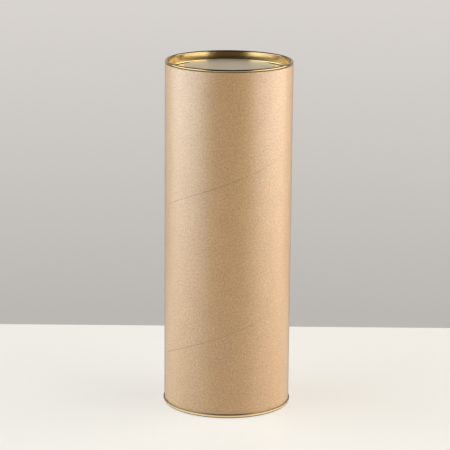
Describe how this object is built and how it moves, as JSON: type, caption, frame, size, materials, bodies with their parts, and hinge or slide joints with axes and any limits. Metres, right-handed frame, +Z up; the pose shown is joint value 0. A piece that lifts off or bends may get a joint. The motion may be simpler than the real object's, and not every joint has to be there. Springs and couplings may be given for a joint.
{
  "type": "cardboard tube box",
  "caption": "Tall round box wound from kraft paperboard, with a pressed gold tin lid that plugs into the top and a rolled-on tin bottom.",
  "frame": {"origin": "centre of the foot ring that the box stands on", "axes": "+Z up along the tube's axis, towards the lid; the picture looks along +Y"},
  "size_m": [0.1218, 0.1218, 0.3314],
  "materials": {
    "kraft_board": "matte",
    "lid_tin": "gloss",
    "base_tin": "gloss"
  },
  "bodies": {
    "container": {"tube_body": "kraft_board", "bottom_end": "base_tin"},
    "lid": {"plug_lid": "lid_tin"}
  },
  "joints": [
    {"name": "lid_pull", "type": "slide", "parent": "container", "child": "lid", "axis": [0, 0, 1], "range_m": [0, 0.08]}
  ]
}
